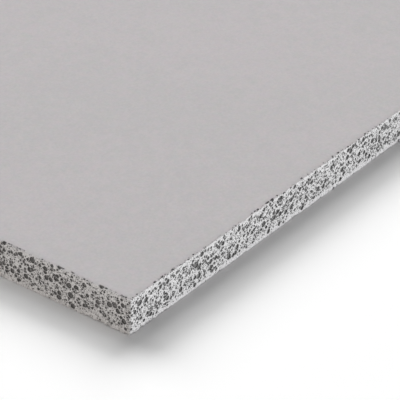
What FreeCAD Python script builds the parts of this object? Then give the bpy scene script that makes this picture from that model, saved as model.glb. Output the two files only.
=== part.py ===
import FreeCAD, Part
import os
import Sketcher

# Cement board: one flat sheet of lightweight concrete, cast in one piece and sawn to size.
# Frame in millimetres: origin at the centre of the underside, +X along the length,
# +Y across the width, +Z up through the thickness. The underside lies on Z = 0.

SHEET_CELLS = (
    # alias, value in millimetres, what it sets
    ("board_length", 1250.0, "length along X"),
    ("board_width", 1000.0, "width along Y"),
    ("board_thickness", 12.5, "thickness along Z"),
    ("arris_wear", 0.3, "how far the sawn arrises are worn back, at 45 degrees"),
)
OUTPUT_FOLDER = "parts"


def make_sheet(doc):
    """The spreadsheet that holds the driving dimensions."""
    sheet = doc.addObject("Spreadsheet::Sheet", "Sizes")
    for row, (alias, value, meaning) in enumerate(SHEET_CELLS, start=1):
        sheet.set("A%d" % row, meaning)
        sheet.set("B%d" % row, str(value))
        sheet.setAlias("B%d" % row, alias)
    doc.recompute()
    return sheet


def origin_plane(body, role):
    """The body's own origin plane that has the given role, such as XY_Plane."""
    for feature in body.Origin.OriginFeatures:
        if feature.Role == role:
            return feature
    raise RuntimeError("%s has no origin plane %s" % (body.Label, role))


def outline_sketch(body):
    """A rectangle centred on the origin, in the plane of the underside."""
    sketch = body.newObject("Sketcher::SketchObject", "BoardOutline")
    sketch.AttachmentSupport = (origin_plane(body, "XY_Plane"), "")
    sketch.MapMode = "FlatFace"

    corners = (
        FreeCAD.Vector(-500, -400, 0),
        FreeCAD.Vector(500, -400, 0),
        FreeCAD.Vector(500, 400, 0),
        FreeCAD.Vector(-500, 400, 0),
    )
    for index, corner in enumerate(corners):
        following = corners[(index + 1) % len(corners)]
        sketch.addGeometry(Part.LineSegment(corner, following), False)

    for side in range(4):
        sketch.addConstraint(Sketcher.Constraint("Coincident", side, 2, (side + 1) % 4, 1))
    for side in (0, 2):
        sketch.addConstraint(Sketcher.Constraint("Horizontal", side))
    for side in (1, 3):
        sketch.addConstraint(Sketcher.Constraint("Vertical", side))
    # The first and third corners stand either side of the origin, which centres the board.
    sketch.addConstraint(Sketcher.Constraint("Symmetric", 0, 1, 2, 1, -1, 1))

    length = sketch.addConstraint(Sketcher.Constraint("DistanceX", 0, 1, 0, 2, 1000))
    width = sketch.addConstraint(Sketcher.Constraint("DistanceY", 1, 1, 1, 2, 800))
    sketch.renameConstraint(length, "Length")
    sketch.renameConstraint(width, "Width")
    sketch.setExpression("Constraints.Length", "Sizes.board_length")
    sketch.setExpression("Constraints.Width", "Sizes.board_width")
    return sketch


def cement_board(doc):
    """The whole board: its outline raised through its thickness, then its arrises eased."""
    body = doc.addObject("PartDesign::Body", "CementBoardBody")
    body.Label = "cement_board"
    sketch = outline_sketch(body)

    slab = body.newObject("PartDesign::Pad", "Slab")
    slab.Profile = sketch
    slab.setExpression("Length", "Sizes.board_thickness")
    doc.recompute()

    arrises = body.newObject("PartDesign::Chamfer", "WornArrises")
    arrises.Base = (slab, ["Edge%d" % (n + 1) for n in range(len(slab.Shape.Edges))])
    arrises.setExpression("Size", "Sizes.arris_wear")
    body.Tip = arrises
    body.Placement = FreeCAD.Placement()
    return body


def check_document(doc):
    """Stop if any object of the document failed to recompute."""
    for item in doc.Objects:
        for state in item.State:
            if state in ("Invalid", "Error"):
                raise RuntimeError("%s is %s" % (item.Label, state))


def check_board(board, sheet):
    """Stop unless the board is one valid solid of the stated size, resting on Z = 0."""
    shape = board.Shape
    if shape.isNull() or not shape.isValid():
        raise RuntimeError("%s has no valid shape" % board.Label)
    if len(shape.Solids) != 1:
        raise RuntimeError("%s is %d solids" % (board.Label, len(shape.Solids)))
    box = shape.BoundBox
    wanted = (
        (box.XLength, sheet.board_length),
        (box.YLength, sheet.board_width),
        (box.ZLength, sheet.board_thickness),
        (box.ZMin, 0.0),
        (box.XMin, -box.XMax),
        (box.YMin, -box.YMax),
    )
    for found, stated in wanted:
        if abs(float(found) - float(stated)) > 1e-6:
            raise RuntimeError("%s measures %s, not %s" % (board.Label, found, stated))


def main():
    doc = FreeCAD.newDocument("CementBoard")
    sheet = make_sheet(doc)
    board = cement_board(doc)
    doc.recompute()

    check_document(doc)
    check_board(board, sheet)

    os.makedirs(OUTPUT_FOLDER, exist_ok=True)
    board.Shape.exportStep(os.path.join(OUTPUT_FOLDER, board.Label + ".step"))
    print("%s: %.0f cubic mm" % (board.Label, board.Shape.Volume))


main()
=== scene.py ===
"""A cement board lying flat: smooth cement faces, and sawn edges that show the porous grains inside."""

import math

import bpy
import numpy as np
from bpy.props import FloatProperty, FloatVectorProperty, IntProperty, PointerProperty
from mathutils import Euler, Matrix, Vector


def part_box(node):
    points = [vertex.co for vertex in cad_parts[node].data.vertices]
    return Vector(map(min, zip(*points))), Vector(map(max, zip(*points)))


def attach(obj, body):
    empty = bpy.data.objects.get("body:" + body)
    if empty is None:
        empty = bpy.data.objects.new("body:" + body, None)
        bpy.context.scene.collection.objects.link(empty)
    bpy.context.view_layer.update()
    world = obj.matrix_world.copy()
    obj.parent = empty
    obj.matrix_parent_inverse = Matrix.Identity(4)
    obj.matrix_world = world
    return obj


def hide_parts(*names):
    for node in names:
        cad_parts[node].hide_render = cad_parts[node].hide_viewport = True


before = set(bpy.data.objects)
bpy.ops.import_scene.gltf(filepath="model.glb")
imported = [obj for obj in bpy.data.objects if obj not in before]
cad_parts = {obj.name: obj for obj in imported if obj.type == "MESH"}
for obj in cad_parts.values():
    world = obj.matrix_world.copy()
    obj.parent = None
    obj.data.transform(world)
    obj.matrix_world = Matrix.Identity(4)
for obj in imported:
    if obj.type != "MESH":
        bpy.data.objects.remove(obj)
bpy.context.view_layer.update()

bl_info = {
    "name": "Cement Board",
    "version": (1, 0, 0),
    "blender": (4, 5, 0),
    "location": "3D View > Sidebar > Cement Board",
    "description": "Builds a cement board with sawn edges, and a plain stage for it",
    "category": "Object",
}

MM = 0.001
NODE = "cement_board"
BODY = "root"

LOW, HIGH = (Vector(corner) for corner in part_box(NODE))
THICK = HIGH.z - LOW.z

UNCUT = "uncut"        # where a point of the sawn surface lay before it was pitted
INWARD = "inward"      # which way the surface is cut back at a point
SAWN = "sawn"          # 1 on the sawn edge, 0 on the smooth faces
ARRIS = "arris"        # 1 along an arris, 0 a little way from it
SKIN = "skin"          # 1 where the smooth cement face is whole
BAKE_MAP = "OFBake"    # the UV map that a bake of the edge is made through
LOOSENESS = 0.8        # how far grain centres stray from even spacing
NOWHERE = MM           # how far outside a grain every place counts where no grain is kept

GRAIN_TURN = Euler((0.41, 0.73, 0.29))     # turns the grain pattern off the board's own directions
GRAIN_UP = GRAIN_TURN.to_matrix() @ Vector((0.0, 0.0, 1.0))


# ---------------------------------------------------------------------------
# Node trees written as arithmetic
# ---------------------------------------------------------------------------

class Signal:
    """The output of a node. Arithmetic on it adds Math nodes to the same tree."""

    def __init__(self, desk, socket):
        self.desk = desk
        self.socket = socket

    def __add__(self, other):
        return self.desk.math("ADD", self, other)

    __radd__ = __add__

    def __sub__(self, other):
        return self.desk.math("SUBTRACT", self, other)

    def __rsub__(self, other):
        return self.desk.math("SUBTRACT", other, self)

    def __mul__(self, other):
        return self.desk.math("MULTIPLY", self, other)

    __rmul__ = __mul__

    def __truediv__(self, other):
        return self.desk.math("DIVIDE", self, other)

    def __rtruediv__(self, other):
        return self.desk.math("DIVIDE", other, self)

    def clamped(self):
        """The same value, held between 0 and 1."""
        return self.desk.math("MULTIPLY", self, 1.0, clamp=True)


class Desk:
    """Adds nodes and links to one tree."""

    def __init__(self, tree):
        self.tree = tree

    def add(self, kind, settings=None, sockets=None):
        """A node of this kind, its settings first and then the values or links of its sockets."""
        node = self.tree.nodes.new(kind)
        for name, value in (settings or {}).items():
            setattr(node, name, value)
        for name, value in (sockets or {}).items():
            self.plug(self.find(node.inputs, name), value)
        return node

    @staticmethod
    def find(sockets, name):
        """The socket with this number, identifier or name."""
        if isinstance(name, int):
            return sockets[name]
        for socket in sockets:
            if socket.identifier == name:
                return socket
        return sockets[name]

    def plug(self, socket, value):
        """Link a signal to a socket, or set the socket's own value."""
        if isinstance(value, Signal):
            self.tree.links.new(value.socket, socket)
        else:
            socket.default_value = value

    def out(self, node, name=0):
        return Signal(self, self.find(node.outputs, name))

    def math(self, operation, *values, clamp=False):
        """A Math node's value."""
        settings = {"operation": operation, "use_clamp": clamp}
        return self.out(self.add("ShaderNodeMath", settings, dict(enumerate(values))))

    def vector(self, operation, a, b=None, scale=None):
        """A Vector Math node's vector."""
        sockets = {0: a}
        if b is not None:
            sockets[1] = b
        if scale is not None:
            sockets["Scale"] = scale
        return self.out(self.add("ShaderNodeVectorMath", {"operation": operation}, sockets), "Vector")

    def dot(self, a, b):
        """The dot product of two vectors, as a value."""
        node = self.add("ShaderNodeVectorMath", {"operation": "DOT_PRODUCT"}, {0: a, 1: b})
        return self.out(node, "Value")

    def parts(self, vector):
        """The three parts of a vector or colour."""
        node = self.add("ShaderNodeSeparateXYZ", None, {0: vector})
        return self.out(node, "X"), self.out(node, "Y"), self.out(node, "Z")

    def mix(self, factor, a, b):
        """One colour turning into another as factor goes from 0 to 1."""
        settings = {"data_type": "RGBA", "clamp_factor": True}
        sockets = {"Factor_Float": factor, "A_Color": a, "B_Color": b}
        return self.out(self.add("ShaderNodeMix", settings, sockets), "Result_Color")

    def rise(self, value, start, stop):
        """A smooth step from 0 at start to 1 at stop."""
        sockets = {"Value": value, "From Min": start, "From Max": stop}
        node = self.add("ShaderNodeMapRange", {"interpolation_type": "SMOOTHSTEP"}, sockets)
        return self.out(node, "Result")

    def noise(self, place, size, detail=2.0, roughness=0.5):
        """A Noise node whose blotches are about this size, in metres."""
        sockets = {"Vector": place, "Scale": 1.0 / size, "Detail": detail, "Roughness": roughness}
        return self.add("ShaderNodeTexNoise", {"noise_dimensions": "3D"}, sockets)

    def cells(self, place, size, feature="F1", randomness=1.0):
        """A Voronoi node with one cell centre in each cube of this size, in metres."""
        sockets = {"Vector": place, "Scale": 1.0 / size, "Randomness": randomness}
        settings = {"voronoi_dimensions": "3D", "feature": feature}
        return self.add("ShaderNodeTexVoronoi", settings, sockets)


def colour(rgb):
    """A colour with its alpha, as a node's socket takes it."""
    return (rgb[0], rgb[1], rgb[2], 1.0)


# ---------------------------------------------------------------------------
# Settings
# ---------------------------------------------------------------------------

class GrainSettings(bpy.types.PropertyGroup):
    """The porous grains in the concrete, each a ball that the saw cut through."""

    coarse: FloatProperty(
        name="Coarse spacing", description="Spacing of the largest grains", default=2.1 * MM,
        unit="LENGTH", subtype="DISTANCE", precision=5)
    middle: FloatProperty(
        name="Middle spacing", description="Spacing of the middle grains", default=1.15 * MM,
        unit="LENGTH", subtype="DISTANCE", precision=5)
    fine: FloatProperty(
        name="Fine spacing", description="Spacing of the smallest grains", default=0.54 * MM,
        unit="LENGTH", subtype="DISTANCE", precision=5)
    gap: FloatProperty(
        name="Gap", description="Half the cement between two grains that crowd each other",
        default=0.04 * MM, unit="LENGTH", subtype="DISTANCE", precision=6)
    shift_x: FloatProperty(
        name="Shift X", description="Slides the grains along the board, for another set of them",
        default=41.1 * MM, unit="LENGTH", subtype="DISTANCE")
    shift_y: FloatProperty(
        name="Shift Y", description="Slides the grains across the board, for another set of them",
        default=27.3 * MM, unit="LENGTH", subtype="DISTANCE")
    waviness: FloatProperty(
        name="Waviness", description="How far a grain's outline strays from round", default=0.14 * MM,
        unit="LENGTH", subtype="DISTANCE", precision=5)
    dense_top: FloatProperty(
        name="Dense top", description="Depth below the upper face where grains reach full size",
        default=1.35 * MM, unit="LENGTH", subtype="DISTANCE", precision=5)
    dense_foot: FloatProperty(
        name="Dense foot", description="Height above the underside where grains reach full size",
        default=2.5 * MM, unit="LENGTH", subtype="DISTANCE", precision=5)
    nicks: FloatProperty(
        name="Nicks", description="Share of grains kept where they break the upper arris",
        default=0.6, min=0.0, max=1.0)


class EdgeSettings(bpy.types.PropertyGroup):
    """The sawn edges and their arrises."""

    reach: FloatProperty(
        name="Reach", description="How far an edge piece reaches over the flat faces",
        default=2.0 * MM, unit="LENGTH", subtype="DISTANCE", precision=5)
    wear: FloatProperty(
        name="Arris wear", description="How far the arrises are worn back", default=0.12 * MM,
        unit="LENGTH", subtype="DISTANCE", precision=5)
    pit_depth: FloatProperty(
        name="Pit depth", description="Depth of a large grain's socket", default=0.48 * MM,
        unit="LENGTH", subtype="DISTANCE", precision=5)
    chip_depth: FloatProperty(
        name="Chip depth", description="Depth of the largest chips along an arris", default=0.8 * MM,
        unit="LENGTH", subtype="DISTANCE", precision=5)
    tooth: FloatProperty(
        name="Tooth", description="Depth of the roughness between the grains", default=0.07 * MM,
        unit="LENGTH", subtype="DISTANCE", precision=5)
    near_front: FloatProperty(
        name="Close stretch, front", description="Length of the front edge that is meshed finely",
        default=134 * MM, unit="LENGTH", subtype="DISTANCE")
    near_left: FloatProperty(
        name="Close stretch, left", description="Length of the left edge that is meshed finely",
        default=52 * MM, unit="LENGTH", subtype="DISTANCE")
    fine_step: FloatProperty(
        name="Fine step", description="Mesh spacing on the close stretch", default=0.165 * MM,
        unit="LENGTH", subtype="DISTANCE", precision=6)
    wide_step: FloatProperty(
        name="Wide step", description="Mesh spacing along the other edges", default=0.52 * MM,
        unit="LENGTH", subtype="DISTANCE", precision=6)
    wide_rows: IntProperty(
        name="Wide rows", description="Rows of faces up the other edges", default=24, min=4)
    fine_rows: IntProperty(
        name="Fine rows", description="Rows of faces up the close stretch", default=68, min=4)


class FinishSettings(bpy.types.PropertyGroup):
    """The colours of the cement, as scene-linear values."""

    face: FloatVectorProperty(
        name="Face", description="Smooth cement face", default=(0.4475, 0.431, 0.4355),
        size=3, subtype="COLOR", min=0.0, max=1.0)
    face_warm: FloatVectorProperty(
        name="Face, warm blotches", description="Warmer patches of the face",
        default=(0.464, 0.4385, 0.4475), size=3, subtype="COLOR", min=0.0, max=1.0)
    matrix: FloatVectorProperty(
        name="Matrix", description="Pale cement between the grains", default=(0.760, 0.755, 0.757),
        size=3, subtype="COLOR", min=0.0, max=1.0)
    matrix_dull: FloatVectorProperty(
        name="Matrix, dull", description="Darker patches of the matrix", default=(0.48, 0.475, 0.475),
        size=3, subtype="COLOR", min=0.0, max=1.0)
    grain: FloatVectorProperty(
        name="Grain", description="Dark rim and pores of a grain", default=(0.066, 0.065, 0.064),
        size=3, subtype="COLOR", min=0.0, max=1.0)
    grain_pale: FloatVectorProperty(
        name="Grain, pale", description="Porous heart of a grain", default=(0.26, 0.258, 0.256),
        size=3, subtype="COLOR", min=0.0, max=1.0)


class StageSettings(bpy.types.PropertyGroup):
    """The floor, the lamps and the camera."""

    azimuth: FloatProperty(
        name="Azimuth", description="Compass angle of the camera", default=math.radians(-55.06),
        subtype="ANGLE")
    elevation: FloatProperty(
        name="Elevation", description="Height angle of the camera", default=math.radians(31.42),
        subtype="ANGLE")
    roll: FloatProperty(
        name="Roll", description="Turn of the camera about its line of sight",
        default=math.radians(2.64), subtype="ANGLE")
    lens: FloatProperty(
        name="Lens", description="Focal length in millimetres", default=189.0, min=10.0)
    distance: FloatProperty(
        name="Distance", description="From the camera to the plane of the near corner",
        default=593.6 * MM, unit="LENGTH", subtype="DISTANCE")
    aside: FloatProperty(
        name="Corner aside", description="How far the near corner lies left of the line of sight",
        default=19.6 * MM, unit="LENGTH", subtype="DISTANCE")
    below: FloatProperty(
        name="Corner below", description="How far the near corner lies below the line of sight",
        default=28.4 * MM, unit="LENGTH", subtype="DISTANCE")
    floor_size: FloatProperty(
        name="Floor size", description="Side of the square floor", default=60.0,
        unit="LENGTH", subtype="DISTANCE")
    key_right: FloatProperty(
        name="Right key", description="Light on the upper face from the right", default=0.400)
    key_back: FloatProperty(
        name="Back key", description="Light on the upper face from behind", default=0.405)
    high_left: FloatProperty(
        name="High left light", description="Light on the upper face from high on the left",
        default=0.157)
    front_fill: FloatProperty(
        name="Front fill", description="Light of the low front lamp on a wall that faces it",
        default=0.94)
    left_fill: FloatProperty(
        name="Left fill", description="Light of the low left lamp on a wall that faces it",
        default=0.31)
    ambient: FloatProperty(
        name="Ambient", description="Even light from the whole sky", default=0.012)


# ---------------------------------------------------------------------------
# What the concrete looks like inside, the same for its relief and its colour
# ---------------------------------------------------------------------------

def wavy(desk, place, amount):
    """The place moved a little each way, so that grains aren't perfectly round."""
    drift = desk.out(desk.noise(place, 0.8 * MM, detail=1.0), "Color")
    centred = desk.vector("SUBTRACT", drift, (0.5, 0.5, 0.5))
    return desk.vector("ADD", place, desk.vector("SCALE", centred, scale=amount))


def room_for_grains(desk, centre, grains, stray):
    """The share of grains kept: 1 well inside the board, and few beside the flat faces.

    The cement is dense there. Stray is the share that still lies in it, and some grains lie
    on the upper arris itself, which they nick."""
    height = desk.dot(centre, GRAIN_UP)
    below_top = desk.rise(HIGH.z - height, 0.5 * grains.dense_top, grains.dense_top)
    above_foot = desk.rise(height - LOW.z, 0.4 * grains.dense_foot, grains.dense_foot)
    from_arris = desk.math("ABSOLUTE", HIGH.z - height)
    nicks = grains.nicks * (1.0 - desk.rise(from_arris, 0.15 * MM, 0.35 * MM))
    below_top = desk.math("MAXIMUM", below_top, desk.math("MAXIMUM", nicks, stray))
    above_foot = desk.math("MAXIMUM", above_foot, 0.5 * stray)
    return desk.math("MINIMUM", below_top, above_foot)


class GrainSize:
    """One size class of grains: balls, flattened where they meet.

    The smallest and largest radius are parts of the spacing, and share is how many are kept."""

    def __init__(self, grains, spacing, smallest, largest, share, stray):
        self.grains = grains
        self.spacing = spacing
        self.smallest = smallest
        self.largest = largest
        self.share = share
        self.stray = stray

    def at(self, desk, place):
        """The nearest ball: how far off it is, its radius, 1 if it is kept, its centre and its tone."""
        nearest = desk.cells(place, self.spacing, "F1", LOOSENESS)
        chance, tone, keep = desk.parts(desk.out(nearest, "Color"))
        centre = desk.out(nearest, "Position")
        radius = (self.smallest + (self.largest - self.smallest) * chance) * self.spacing
        room = room_for_grains(desk, centre, self.grains, self.stray)
        kept = desk.math("LESS_THAN", keep, self.share * room)
        return desk.out(nearest, "Distance") * self.spacing, radius, kept, centre, tone


def grain_layer(desk, place, size, larger, taken):
    """How deep inside a grain of this size the place is, negative outside, and the grain's tone.

    A grain is left out where its centre lies too near a larger one, and is cut by a larger one."""
    overlap = 0.4    # the part of its radius that a grain may reach into a larger one
    distance, radius, kept, centre, tone = size.at(desk, place)
    for other in larger:
        far, other_radius, other_kept, _, _ = other.at(desk, centre)
        crowded = other_kept * desk.math("LESS_THAN", far - other_radius, radius * overlap)
        kept = kept * (1.0 - crowded)
    side = desk.out(desk.cells(place, size.spacing, "DISTANCE_TO_EDGE", LOOSENESS), "Distance")
    inside = desk.math("MINIMUM", radius - distance, side * size.spacing - size.grains.gap)
    for other_inside in taken:
        inside = desk.math("MINIMUM", inside, -1.0 * other_inside - 2.0 * size.grains.gap)
    return (inside + NOWHERE) * kept - NOWHERE, tone


def all_grains(desk, place, grains):
    """How deep the place is inside a grain of each size class, largest first, and the grain's tone."""
    shift = (grains.shift_x, grains.shift_y, 0.0)
    moved = desk.vector("ADD", wavy(desk, place, grains.waviness), shift)
    turn = {"Vector": moved, "Rotation": GRAIN_TURN}
    moved = desk.out(desk.add("ShaderNodeVectorRotate", {"rotation_type": "EULER_XYZ"}, turn))
    coarse = GrainSize(grains, grains.coarse, smallest=0.32, largest=0.52, share=0.44, stray=0.02)
    middle = GrainSize(grains, grains.middle, smallest=0.32, largest=0.58, share=0.92, stray=0.08)
    fine = GrainSize(grains, grains.fine, smallest=0.34, largest=0.60, share=0.95, stray=0.34)
    first = grain_layer(desk, moved, coarse, (), ())
    second = grain_layer(desk, moved, middle, (coarse,), (first[0],))
    third = grain_layer(desk, moved, fine, (coarse, middle), (first[0], second[0]))
    return first, second, third


# ---------------------------------------------------------------------------
# Materials
# ---------------------------------------------------------------------------

def new_material(name):
    """A material with a bare Principled shader, and a desk for its tree."""
    material = bpy.data.materials.new(name)
    material.use_nodes = True
    desk = Desk(material.node_tree)
    shader = material.node_tree.nodes["Principled BSDF"]
    return material, desk, shader


def face_colour(desk, place, finish):
    """The smooth cement face: soft blotches of warmer and paler grey, and a fine speckle."""
    broad = desk.out(desk.noise(place, 90 * MM, detail=3.0, roughness=0.55), "Fac")
    small = desk.out(desk.noise(place, 5 * MM, detail=3.0, roughness=0.6), "Fac")
    speck = desk.out(desk.noise(place, 0.8 * MM, detail=2.0), "Fac")
    tint = desk.out(desk.noise(place, 2.5 * MM, detail=3.0, roughness=0.6), "Color")
    warmth = desk.rise(0.5 * broad + 0.5 * small, 0.40, 0.60)
    ground = desk.mix(warmth, colour(finish.face), colour(finish.face_warm))
    shade = 0.895 + 0.03 * small + 0.18 * speck
    mottle = desk.vector("ADD", desk.vector("SCALE", tint, scale=0.10), (0.95, 0.95, 0.95))
    return desk.vector("MULTIPLY", desk.vector("SCALE", ground, scale=shade), mottle)


def face_height(desk, place):
    """The fine tooth of the smooth face, in metres."""
    fine = desk.out(desk.noise(place, 0.35 * MM, detail=2.0), "Fac")
    wide = desk.out(desk.noise(place, 6 * MM, detail=2.0), "Fac")
    return (fine * 0.010 + wide * 0.05) * MM


def core_colour(desk, place, grains, finish):
    """The sawn core: pale cement packed with dark porous grains."""
    coarse, middle, fine = all_grains(desk, place, grains)
    cloud = desk.out(desk.noise(place, 0.55 * MM, detail=3.0, roughness=0.65), "Fac")
    pores = desk.out(desk.noise(place, 0.30 * MM, detail=2.0), "Fac")
    ground = desk.mix(desk.rise(cloud, 0.42, 0.64), colour(finish.matrix), colour(finish.matrix_dull))

    dark = colour(finish.grain)
    pale = colour(finish.grain_pale)
    rim, heart = 0.05 * MM, 0.28 * MM    # how deep in a grain its dark rim and its pale heart begin
    for inside, tone in (fine, middle, coarse):
        porous = desk.rise(inside, rim, heart) * (0.3 + 0.5 * tone) * desk.rise(pores, 0.36, 0.56)
        ashy = porous + 0.4 * tone * tone * tone
        ground = desk.mix(inside / rim, ground, desk.mix(ashy, dark, pale))
    return ground


def face_material(finish):
    """The smooth upper and lower faces."""
    material, desk, shader = new_material("smooth_cement_face")
    place = desk.out(desk.add("ShaderNodeTexCoord"), "Object")
    bump = desk.add("ShaderNodeBump", None, {"Height": face_height(desk, place) / MM, "Distance": MM})
    desk.plug(shader.inputs["Base Color"], face_colour(desk, place, finish))
    desk.plug(shader.inputs["Normal"], desk.out(bump))
    shader.inputs["Roughness"].default_value = 0.85
    shader.inputs["Specular IOR Level"].default_value = 0.3
    return material


def edge_material(grains, finish):
    """The sawn edge, and the rim of smooth face beside it."""
    material, desk, shader = new_material("sawn_cement_edge")
    place = desk.out(desk.add("ShaderNodeAttribute", {"attribute_name": UNCUT}), "Vector")
    skin = desk.out(desk.add("ShaderNodeAttribute", {"attribute_name": SKIN}), "Fac")
    core = core_colour(desk, place, grains, finish)
    face = face_colour(desk, place, finish)
    whole = desk.rise(skin, 0.35, 0.65)
    tooth = desk.out(desk.noise(place, 0.2 * MM, detail=2.0, roughness=0.6), "Fac") * 0.06
    height = whole * (face_height(desk, place) / MM) + (1.0 - whole) * tooth
    bump = desk.add("ShaderNodeBump", None, {"Height": height, "Distance": MM})
    desk.plug(shader.inputs["Base Color"], desk.mix(whole, core, face))
    desk.plug(shader.inputs["Normal"], desk.out(bump))
    shader.inputs["Roughness"].default_value = 0.9
    shader.inputs["Specular IOR Level"].default_value = 0.25
    return material


# ---------------------------------------------------------------------------
# The slab
# ---------------------------------------------------------------------------

def link_mesh(name, mesh):
    """An object for this mesh, in the scene."""
    piece = bpy.data.objects.new(name, mesh)
    bpy.context.scene.collection.objects.link(piece)
    return piece


def finish_piece(piece):
    """Hand a finished piece to the frame: it stands for the board and moves with it."""
    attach(piece, BODY)
    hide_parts(NODE)


def make_slab(reach):
    """The board inside its edge pieces: a grid of cells on each smooth face, and a wall round them."""
    cells_long, cells_wide = 25, 20
    xs = np.linspace(LOW.x + reach, HIGH.x - reach, cells_long + 1)
    ys = np.linspace(LOW.y + reach, HIGH.y - reach, cells_wide + 1)
    points = [(x, y, z) for z in (LOW.z, HIGH.z) for y in ys for x in xs]

    grid = np.arange(xs.size * ys.size).reshape(ys.size, xs.size)
    cells = np.stack((grid[:-1, :-1], grid[:-1, 1:], grid[1:, 1:], grid[1:, :-1]), axis=-1)
    cells = cells.reshape(-1, 4)
    rim = np.concatenate((grid[0, :-1], grid[:-1, -1], grid[-1, :0:-1], grid[:0:-1, 0]))
    after = np.roll(rim, -1)
    wall = np.stack((rim, after, after + grid.size, rim + grid.size), axis=-1)
    faces = np.concatenate((cells[:, ::-1], cells + grid.size, wall))

    mesh = bpy.data.meshes.new("board_slab")
    mesh.from_pydata(points, [], faces.tolist())
    return link_mesh("board_slab", mesh)


# ---------------------------------------------------------------------------
# The sawn edges
# ---------------------------------------------------------------------------

class Leg:
    """A straight stretch of edge. A mitred end meets the next side of the board."""

    def __init__(self, start, along, length, step, mitre_start=True, mitre_end=True):
        self.start = np.array(start)
        self.along = np.array(along)
        self.inward = np.array((-along[1], along[0]))
        self.length = length
        self.count = max(2, round(length / step))
        self.mitre_start = mitre_start
        self.mitre_end = mitre_end

    def places(self, inset, skip_first):
        """Points along the leg for each inset, as an array of columns by insets by two."""
        part = np.linspace(0.0, 1.0, self.count + 1)[int(skip_first):, None]
        before = inset[None, :] * self.mitre_start
        after = inset[None, :] * self.mitre_end
        run = before + part * (self.length - before - after)
        return self.start + run[..., None] * self.along + inset[None, :, None] * self.inward

    def inwards(self, skip_first):
        """The way into the board at each column. It is halved at a mitred end."""
        ways = np.tile(self.inward.astype(float), (self.count + 1, 1))
        if self.mitre_start:
            ways[0] = (self.inward + self.along) / math.sqrt(2)
        if self.mitre_end:
            ways[-1] = (self.inward - self.along) / math.sqrt(2)
        return ways[int(skip_first):]

    def arris_weights(self, fade, skip_first):
        """1 at a mitred end, where two edges meet in an upright arris, fading along the leg."""
        run = np.linspace(0.0, self.length, self.count + 1)
        weight = np.zeros_like(run)
        if self.mitre_start:
            weight = np.maximum(weight, 1.0 - run / fade)
        if self.mitre_end:
            weight = np.maximum(weight, 1.0 - (self.length - run) / fade)
        return weight[int(skip_first):]


def section(edge, rows):
    """The outline of an edge piece, from the upper face round the sawn edge to the underside.

    Each row is an inset, a height, how much it is sawn, smooth skin or arris, and which way
    it is cut back, as an inward and an upward part."""
    wear = edge.wear
    diagonal = math.sqrt(0.5)
    outline = []
    for part in (1.0, 0.65, 0.45, 0.32, 0.22, 0.15):    # parts of the reach over the flat face
        near = max(0.0, 1.2 - part / 0.38)
        outline.append((part * edge.reach, THICK, 0.0, 1.0, near, 0.0, -1.0))
    outline.append((wear, THICK, 0.0, 1.0, 1.0, diagonal, -diagonal))
    outline.append((0.3 * wear, THICK - 0.3 * wear, 0.5, 0.5, 1.0, diagonal, -diagonal))
    for height in np.linspace(THICK - wear, THICK / 2, rows // 2 + 1):
        near = max(0.0, 1.0 - (THICK - wear - height) / (0.5 * edge.reach))
        outline.append((0.0, height, 1.0, 0.0, near, 1.0, 0.0))
    lower = []
    for inset, height, sawn, skin, arris, inwards, upwards in outline[:-1]:
        lower.append((inset, THICK - height, sawn, skin, arris, inwards, -upwards))
    return np.array(outline + lower[::-1])


def level_rows(mesh, across, inset, height, length):
    """Lay a band out on its bake map as a few level rows, so that its grains stay sharp in a bake.

    The hidden inner wall gets a sliver of each row, and the two end caps a strip along the top."""
    margin, wall, strip = 0.002, 0.035, 0.015
    cap_length, first_cap, last_cap = 0.3, 0.4, 0.5
    girth = np.cumsum(np.hypot(np.diff(inset), np.diff(height)))
    ring = np.concatenate(([0.0], girth))
    rows = max(1, round(math.sqrt(length / ring[-1])))
    ring = np.append(ring * (1.0 - wall) / ring[-1], 1.0)

    per_row = math.ceil((across - 1) / rows)
    level, step = np.divmod(np.arange(across - 1), per_row)
    begin = np.broadcast_to((1.0 - step / per_row)[:, None], (across - 1, inset.size))
    end = begin - 1.0 / per_row
    low = (level[:, None] + ring[None, :-1]) / rows
    high = (level[:, None] + ring[None, 1:]) / rows
    corners = ((begin, low), (begin, high), (end, high), (end, low))
    places = np.stack([np.stack(corner, axis=-1) for corner in corners], axis=2).reshape(-1, 2)
    places = margin + places * (1.0 - 2 * margin, 1.0 - strip - 2 * margin)

    up = cap_length * height / THICK
    out = 1.0 - inset / inset.max()
    top = 1.0 - strip + (strip - margin) * out
    first = np.stack((first_cap - up, top), axis=-1)[::-1]
    last = np.stack((last_cap + up, top), axis=-1)
    layer = mesh.uv_layers.new(name=BAKE_MAP)
    layer.uv.foreach_set("vector", np.concatenate((places, first, last)).astype(np.float32).reshape(-1))


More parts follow.
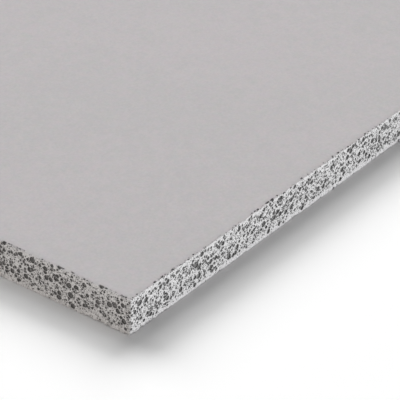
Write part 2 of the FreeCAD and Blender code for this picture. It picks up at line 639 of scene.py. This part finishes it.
def run_of_edge(name, legs, edge, rows):
    """A closed band along one or more legs, with the attributes that its relief needs."""
    inset, height, sawn, skin, arris, inwards, upwards = section(edge, rows).T
    columns, ways, upright = [], [], []
    for number, leg in enumerate(legs):
        columns.append(leg.places(inset, number > 0))
        ways.append(leg.inwards(number > 0))
        upright.append(leg.arris_weights(0.5 * edge.reach, number > 0))
    plan = np.concatenate(columns)
    ways = np.concatenate(ways)
    upright = np.concatenate(upright)
    across, around = plan.shape[:2]

    def in_each_column(values):
        """The values of the outline's rows, the same in each column."""
        return np.broadcast_to(values, (across, around))

    points = np.dstack((plan, in_each_column(LOW.z + height))).reshape(-1, 3)
    cut = np.dstack((ways[:, None, :] * inwards[:, None], in_each_column(upwards)))
    weights = {
        SAWN: in_each_column(sawn),
        SKIN: in_each_column(skin),
        ARRIS: np.maximum(arris, upright[:, None] * sawn),
    }

    column = np.arange(across - 1)[:, None] * around
    following = column + around
    row = np.arange(around)[None, :]
    after = (row + 1) % around
    quads = np.stack((column + row, column + after, following + after, following + row), axis=-1)
    faces = quads.reshape(-1, 4).tolist()
    faces.append(list(range(around))[::-1])
    faces.append([(across - 1) * around + index for index in range(around)])

    mesh = bpy.data.meshes.new(name)
    mesh.from_pydata(points.tolist(), [], faces)
    for label, values in weights.items():
        layer = mesh.attributes.new(label, "FLOAT", "POINT")
        layer.data.foreach_set("value", values.astype(np.float32).reshape(-1))
    layer = mesh.attributes.new(INWARD, "FLOAT_VECTOR", "POINT")
    layer.data.foreach_set("vector", cut.astype(np.float32).reshape(-1))
    mesh.validate()
    level_rows(mesh, across, inset, height, sum(leg.length for leg in legs))
    return link_mesh(name, mesh)


def knocked(desk, place):
    """1 at the corners of the board, where its arrises are knocked about most, and 0 further along."""
    x, y, _ = desk.parts(place)
    from_side = desk.math("MINIMUM", x - LOW.x, HIGH.x - x)
    from_end = desk.math("MINIMUM", y - LOW.y, HIGH.y - y)
    return 1.0 - desk.rise(desk.math("MAXIMUM", from_side, from_end), 8 * MM, 22 * MM)


def relief_tree(grains, edge, material):
    """Cuts grain sockets into the sawn edge and chips its arrises.

    Returns the tree, and the value of each of its inputs by the input's identifier."""
    tree = bpy.data.node_groups.new("Sawn edge relief", "GeometryNodeTree")
    for way in ("INPUT", "OUTPUT"):
        tree.interface.new_socket(name="Geometry", in_out=way, socket_type="NodeSocketGeometry")
    depths = {"Pit depth": edge.pit_depth, "Chip depth": edge.chip_depth, "Tooth": edge.tooth}
    values = {}
    for name, depth in depths.items():
        knob = tree.interface.new_socket(name=name, in_out="INPUT", socket_type="NodeSocketFloat")
        knob.default_value = depth
        values[knob.identifier] = depth
    desk = Desk(tree)
    given = desk.add("NodeGroupInput")
    place = desk.out(desk.add("GeometryNodeInputPosition"))

    def stored(name, kind="FLOAT"):
        node = desk.add("GeometryNodeInputNamedAttribute", {"data_type": kind}, {"Name": name})
        return desk.out(node, "Attribute")

    coarse, middle, fine = all_grains(desk, place, grains)
    rough = desk.out(desk.noise(place, 0.4 * MM, detail=2.0, roughness=0.6), "Fac")
    lip = 0.09 * MM    # how far in from its outline a socket reaches its full depth
    socket = 0.0
    for (inside, tone), share in ((coarse, 1.0), (middle, 0.6), (fine, 0.3)):
        sunk = (inside / lip).clamped() * (0.55 + 0.45 * tone) * share
        socket = desk.math("MAXIMUM", sunk, socket)
    floor = 0.75 + 0.5 * rough
    pit = socket * floor * desk.out(given, "Pit depth") + rough * desk.out(given, "Tooth")

    chip_node = desk.cells(place, 4.5 * MM)
    chance = desk.parts(desk.out(chip_node, "Color"))[0]
    nearness = desk.out(chip_node, "Distance")
    ragged = desk.out(desk.noise(place, 1.7 * MM, detail=4.0, roughness=0.75), "Fac")
    stretch = desk.out(desk.noise(place, 25 * MM, detail=1.0), "Fac")
    frayed = desk.math("MAXIMUM", knocked(desk, place), desk.rise(stretch, 0.50, 0.62) * 0.25)
    bite = (desk.rise(chance, 0.45, 1.0) * (1.0 - nearness * 2.6 + (ragged - 0.5) * 1.2)).clamped()
    nibble = desk.rise(ragged, 0.42, 0.60) * (0.14 + 1.1 * frayed)
    height = desk.parts(place)[2] - LOW.z
    arris = stored(ARRIS) * (1.0 - 0.65 * desk.rise(height, 0.5 * THICK, HIGH.z - LOW.z))
    chip = arris * arris * desk.math("MAXIMUM", bite, nibble)

    notched = desk.math("MAXIMUM", stored(SAWN), desk.rise(stored(ARRIS), 0.15, 0.4))
    depth = notched * pit + chip * desk.out(given, "Chip depth")
    broken_skin = (chip * 4.0).clamped() + notched * socket * 4.0
    shift = desk.vector("SCALE", stored(INWARD, "FLOAT_VECTOR"), scale=depth)
    kept = desk.add(
        "GeometryNodeStoreNamedAttribute", {"data_type": "FLOAT_VECTOR", "domain": "POINT"},
        {"Geometry": desk.out(given, "Geometry"), "Name": UNCUT, "Value": place})
    skin = stored(SKIN) * (1.0 - broken_skin).clamped()
    broken = desk.add(
        "GeometryNodeStoreNamedAttribute", {"data_type": "FLOAT", "domain": "POINT"},
        {"Geometry": desk.out(kept), "Name": SKIN, "Value": skin})
    cut = desk.add("GeometryNodeSetPosition", None, {"Geometry": desk.out(broken), "Offset": shift})
    whole = desk.add("GeometryNodeRealizeInstances", None, {"Geometry": desk.out(cut)})
    dress = {"Geometry": desk.out(whole), "Material": material}
    dressed = desk.add("GeometryNodeSetMaterial", None, dress)
    desk.add("NodeGroupOutput", None, {"Geometry": desk.out(dressed)})
    return tree, values


def carve(piece, tree, values):
    """Run the relief on one edge piece and keep the result as a plain mesh."""
    modifier = piece.modifiers.new("Relief", "NODES")
    modifier.node_group = tree
    for identifier, value in values.items():
        modifier[identifier] = value
    graph = bpy.context.evaluated_depsgraph_get()
    evaluated = piece.evaluated_get(graph)
    mesh = bpy.data.meshes.new_from_object(evaluated, preserve_all_data_layers=True, depsgraph=graph)
    rough = piece.data
    piece.modifiers.remove(modifier)
    piece.data = mesh
    bpy.data.meshes.remove(rough)
    mesh.name = piece.name
    return piece


def edge_runs(edge):
    """Every edge piece: its name, its legs, in turn round the board, and its rows."""
    length = HIGH.x - LOW.x
    width = HIGH.y - LOW.y
    front, right, back, left = (1, 0), (0, 1), (-1, 0), (0, -1)
    near_x, near_y = edge.near_front, edge.near_left
    fine, wide = edge.fine_step, edge.wide_step
    corner = (
        Leg((LOW.x, LOW.y + near_y), left, near_y, fine, mitre_start=False),
        Leg((LOW.x, LOW.y), front, near_x, fine, mitre_end=False),
    )
    sides = {
        "sawn_edge_front": Leg(
            (LOW.x + near_x, LOW.y), front, length - near_x, wide, mitre_start=False),
        "sawn_edge_right": Leg((HIGH.x, LOW.y), right, width, wide),
        "sawn_edge_back": Leg((HIGH.x, HIGH.y), back, length, wide),
        "sawn_edge_left": Leg((LOW.x, HIGH.y), left, width - near_y, wide, mitre_end=False),
    }
    runs = [("sawn_edge_corner", corner, edge.fine_rows)]
    for name, leg in sides.items():
        runs.append((name, (leg,), edge.wide_rows))
    return runs


# ---------------------------------------------------------------------------
# Operators
# ---------------------------------------------------------------------------

class BOARD_OT_slab(bpy.types.Operator):
    """Make the slab with its two smooth cement faces"""

    bl_idname = "cement_board.slab"
    bl_label = "Slab"

    def execute(self, context):
        scene = context.scene
        piece = make_slab(scene.board_edges.reach)
        piece.data.materials.append(face_material(scene.board_finish))
        finish_piece(piece)
        return {"FINISHED"}


class BOARD_OT_edges(bpy.types.Operator):
    """Saw the four edges, with grain sockets and chipped arrises"""

    bl_idname = "cement_board.edges"
    bl_label = "Sawn edges"

    def execute(self, context):
        scene = context.scene
        edge = scene.board_edges
        material = edge_material(scene.board_grains, scene.board_finish)
        tree, values = relief_tree(scene.board_grains, edge, material)
        for name, legs, rows in edge_runs(edge):
            piece = carve(run_of_edge(name, legs, edge, rows), tree, values)
            if not piece.data.polygons:
                raise RuntimeError(name + " came out empty")
            finish_piece(piece)
        return {"FINISHED"}


def lamp_from(name, azimuth, elevation, level, softness, tint):
    """A sun that gives this level on a surface facing it."""
    data = bpy.data.lights.new(name, "SUN")
    data.energy = level * math.pi
    data.angle = math.radians(softness)
    data.color = tint
    lamp = bpy.data.objects.new(name, data)
    a, e = math.radians(azimuth), math.radians(elevation)
    towards = Vector((math.sin(a) * math.cos(e), -math.cos(a) * math.cos(e), math.sin(e)))
    lamp.matrix_world = towards.to_track_quat("Z", "Y").to_matrix().to_4x4()
    bpy.context.scene.collection.objects.link(lamp)
    return lamp


def high_lamp(name, azimuth, elevation, level, softness):
    """A white sun that gives this level on a flat surface facing up."""
    facing = level / math.sin(math.radians(elevation))
    return lamp_from(name, azimuth, elevation, facing, softness, (1.0, 1.0, 1.0))


def seen_by_eye(desk):
    """1 for a ray that shows a surface to the camera, and 0 for one that lights."""
    path = desk.add("ShaderNodeLightPath")
    seen = desk.out(path, "Is Camera Ray")
    for other in ("Is Glossy Ray", "Is Transmission Ray"):
        seen = desk.math("MAXIMUM", seen, desk.out(path, other))
    return seen


def make_floor(size):
    """A square floor, white to the camera and grey to the board, so that less light bounces up."""
    mesh = bpy.data.meshes.new("floor")
    half = size / 2
    corners = [(-half, -half, LOW.z), (half, -half, LOW.z), (half, half, LOW.z), (-half, half, LOW.z)]
    mesh.from_pydata(corners, [], [(0, 1, 2, 3)])
    floor = link_mesh("floor", mesh)
    material, desk, shader = new_material("pale_floor")
    bounce, white = colour((0.62, 0.62, 0.62)), colour((1.0, 1.0, 1.0))
    desk.plug(shader.inputs["Base Color"], desk.mix(seen_by_eye(desk), bounce, white))
    shader.inputs["Roughness"].default_value = 1.0
    shader.inputs["Specular IOR Level"].default_value = 0.0
    mesh.materials.append(material)
    return floor


def make_world(level):
    """Even light from all round, and plain white where the camera sees past the floor."""
    world = bpy.data.worlds.new("studio")
    world.use_nodes = True
    desk = Desk(world.node_tree)
    back = world.node_tree.nodes["Background"]
    back.inputs["Color"].default_value = (1.0, 1.0, 1.0, 1.0)
    desk.plug(back.inputs["Strength"], level + (1.0 - level) * seen_by_eye(desk))
    bpy.context.scene.world = world


def make_camera(stage):
    """Looks at the near left corner of the board from above."""
    data = bpy.data.cameras.new("camera")
    data.lens = stage.lens
    data.sensor_width = 36.0
    data.clip_start = 0.01
    data.clip_end = 200.0
    camera = bpy.data.objects.new("camera", data)
    a, e, r = stage.azimuth, stage.elevation, stage.roll
    back = Vector((math.sin(a) * math.cos(e), -math.cos(a) * math.cos(e), math.sin(e)))
    level = Vector((math.cos(a), math.sin(a), 0.0))
    upright = back.cross(level)
    right = level * math.cos(r) + upright * math.sin(r)
    up = upright * math.cos(r) - level * math.sin(r)
    corner = Vector((LOW.x, LOW.y, HIGH.z))
    spot = corner + right * stage.aside + up * stage.below + back * stage.distance
    turn = Matrix((right, up, back)).transposed().to_4x4()
    camera.matrix_world = Matrix.Translation(spot) @ turn
    bpy.context.scene.collection.objects.link(camera)
    bpy.context.scene.camera = camera


class BOARD_OT_stage(bpy.types.Operator):
    """Set out the floor, the lamps and the camera"""

    bl_idname = "cement_board.stage"
    bl_label = "Stage"

    def execute(self, context):
        scene = context.scene
        stage = scene.board_stage
        make_floor(stage.floor_size)
        make_world(stage.ambient)
        cool, warm = (0.985, 0.99, 1.0), (1.0, 0.915, 0.85)
        # Name, azimuth, elevation, level and softness of each lamp, the angles in degrees.
        high_lamp("key_right", 117.0, 34.1, stage.key_right, 34.6)
        high_lamp("key_back", 162.2, 34.3, stage.key_back, 34.0)
        high_lamp("high_left", 245.0, 58.3, stage.high_left, 42.0)
        lamp_from("front_fill", 30.0, 1.0, stage.front_fill, 1.8, cool)
        lamp_from("left_fill", -90.0, 1.4, stage.left_fill, 2.5, warm)
        make_camera(stage)
        scene.view_settings.view_transform = "Standard"
        return {"FINISHED"}


class BOARD_PT_sidebar(bpy.types.Panel):
    """The board's operators and sizes"""

    bl_idname = "BOARD_PT_sidebar"
    bl_label = "Cement Board"
    bl_space_type = "VIEW_3D"
    bl_region_type = "UI"
    bl_category = "Cement Board"

    def draw(self, context):
        for operator in (BOARD_OT_slab, BOARD_OT_edges, BOARD_OT_stage):
            self.layout.operator(operator.bl_idname)
        for name in SETTINGS:
            group = getattr(context.scene, name)
            box = self.layout.box()
            for key in group.bl_rna.properties.keys():
                if key not in ("rna_type", "name"):
                    box.prop(group, key)


SETTINGS = {
    "board_grains": GrainSettings,
    "board_edges": EdgeSettings,
    "board_finish": FinishSettings,
    "board_stage": StageSettings,
}
CLASSES = (*SETTINGS.values(), BOARD_OT_slab, BOARD_OT_edges, BOARD_OT_stage, BOARD_PT_sidebar)


def register():
    """Register every class, and give the scene its settings."""
    for cls in CLASSES:
        bpy.utils.register_class(cls)
    for name, group in SETTINGS.items():
        setattr(bpy.types.Scene, name, PointerProperty(type=group))


def unregister():
    """Take away the settings and every class."""
    for name in SETTINGS:
        delattr(bpy.types.Scene, name)
    for cls in reversed(CLASSES):
        bpy.utils.unregister_class(cls)


def main():
    """Build the pieces and the stage in order."""
    register()
    bpy.ops.cement_board.slab()
    bpy.ops.cement_board.edges()
    bpy.ops.cement_board.stage()


if __name__ == "__main__":
    main()
